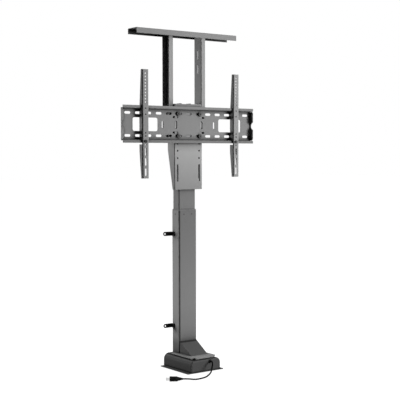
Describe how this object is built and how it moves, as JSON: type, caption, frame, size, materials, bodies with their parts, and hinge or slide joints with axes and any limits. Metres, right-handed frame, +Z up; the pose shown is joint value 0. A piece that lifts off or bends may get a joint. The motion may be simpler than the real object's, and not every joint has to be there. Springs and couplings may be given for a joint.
{
  "type": "motorized tv stand",
  "caption": "Floor-standing television lift: a screw-driven telescoping steel column on a low motor base, with a slotted wall-plate rail, sliding television arms and a lid frame on top.",
  "frame": {"origin": "centre of the base plate's underside, on the floor; the column's axis stands 50 mm behind it", "axes": "+X to the right seen from the front, +Y to the rear, +Z up along the column; the television faces -Y"},
  "size_m": [0.664, 0.2909, 1.385],
  "materials": {
    "base_paint": "dark gray powder coat",
    "column_paint": "gray powder coat",
    "frame_paint": "gray powder coat",
    "black_paint": "black oxide",
    "zinc_steel": "zinc plated",
    "cast_aluminium": "die cast",
    "bronze": "machined bronze",
    "ferrite": "sintered ferrite",
    "collar_plastic": "moulded acetal, gray",
    "guide_plastic": "moulded acetal",
    "black_plastic": "moulded nylon",
    "cable_rubber": "extruded sheath",
    "plug_metal": "nickel plated",
    "pin_metal": "gold plated"
  },
  "bodies": {
    "base": {"base_plate": "base_paint", "base_housing": "base_paint", "housing_screws": "zinc_steel", "motor_cover": "base_paint", "cover_screws": "base_paint", "column_foot": "zinc_steel", "foot_screws": "zinc_steel", "outer_column": "column_paint", "guide_collar": "collar_plastic", "lower_fixing_tab": "black_paint", "upper_fixing_tab": "black_paint", "tab_screws": "black_paint", "gearbox_housing": "cast_aluminium", "gearbox_cover": "cast_aluminium", "gearbox_screws": "zinc_steel", "bearing_outer_rings": "zinc_steel", "worm_bushes": "bronze", "motor_can": "zinc_steel", "motor_magnets": "ferrite", "motor_end_cap": "black_plastic", "motor_screws": "zinc_steel", "motor_lead": "cable_rubber", "cable_grommet": "cable_rubber", "motor_cable": "cable_rubber", "plug_body": "black_plastic", "plug_shell": "plug_metal", "plug_pins": "pin_metal"},
    "drive_screw": {"bearing_inner_rings": "zinc_steel", "lead_screw": "zinc_steel", "worm_wheel": "bronze", "screw_end_guide": "guide_plastic", "end_guide_bolt": "zinc_steel"},
    "motor_rotor": {"worm_shaft": "zinc_steel", "rotor_core": "zinc_steel"},
    "lift_carriage": {"inner_column": "column_paint", "head_plate": "zinc_steel", "head_screws": "black_paint", "lower_glide": "guide_plastic", "drive_nut": "bronze", "nut_screws": "zinc_steel", "glide_pins": "zinc_steel", "carrier_bracket": "frame_paint", "rail_plate": "frame_paint", "rail_bolts": "black_paint", "rail_washers": "black_paint", "rail_nuts": "zinc_steel", "post_bolts": "black_paint", "post_nuts": "zinc_steel"},
    "left_tv_arm": {"left_arm": "frame_paint", "left_lock_screw": "black_paint"},
    "right_tv_arm": {"right_arm": "frame_paint", "right_lock_screw": "black_paint"},
    "lid_frame": {"left_post": "frame_paint", "right_post": "frame_paint", "lid_bracket": "frame_paint", "lid_screws": "black_paint"}
  },
  "joints": [
    {"name": "lift_slide", "type": "slide", "parent": "base", "child": "lift_carriage", "axis": [0, 0, 1], "range_m": [-0.42, 0]},
    {"name": "screw_spin", "type": "hinge", "parent": "base", "child": "drive_screw", "pos_m": [0, 0.05, 0.3], "axis": [0, 0, 1], "continuous": true},
    {"name": "rotor_spin", "type": "hinge", "parent": "base", "child": "motor_rotor", "pos_m": [-0.019, 0, 0.036], "axis": [0, 1, 0], "continuous": true},
    {"name": "left_arm_slide", "type": "slide", "parent": "lift_carriage", "child": "left_tv_arm", "axis": [1, 0, 0], "range_m": [-0.08, 0.13]},
    {"name": "right_arm_slide", "type": "slide", "parent": "lift_carriage", "child": "right_tv_arm", "axis": [1, 0, 0], "range_m": [-0.13, 0.08]},
    {"name": "lid_height_slide", "type": "slide", "parent": "lift_carriage", "child": "lid_frame", "axis": [0, 0, 1], "range_m": [-0.015, 0.015]}
  ],
  "couplings": [
    {"joint": "screw_spin", "follows": "lift_slide", "rad_per_m": -314.16},
    {"joint": "rotor_spin", "follows": "lift_slide", "rad_per_m": 3141.6}
  ]
}
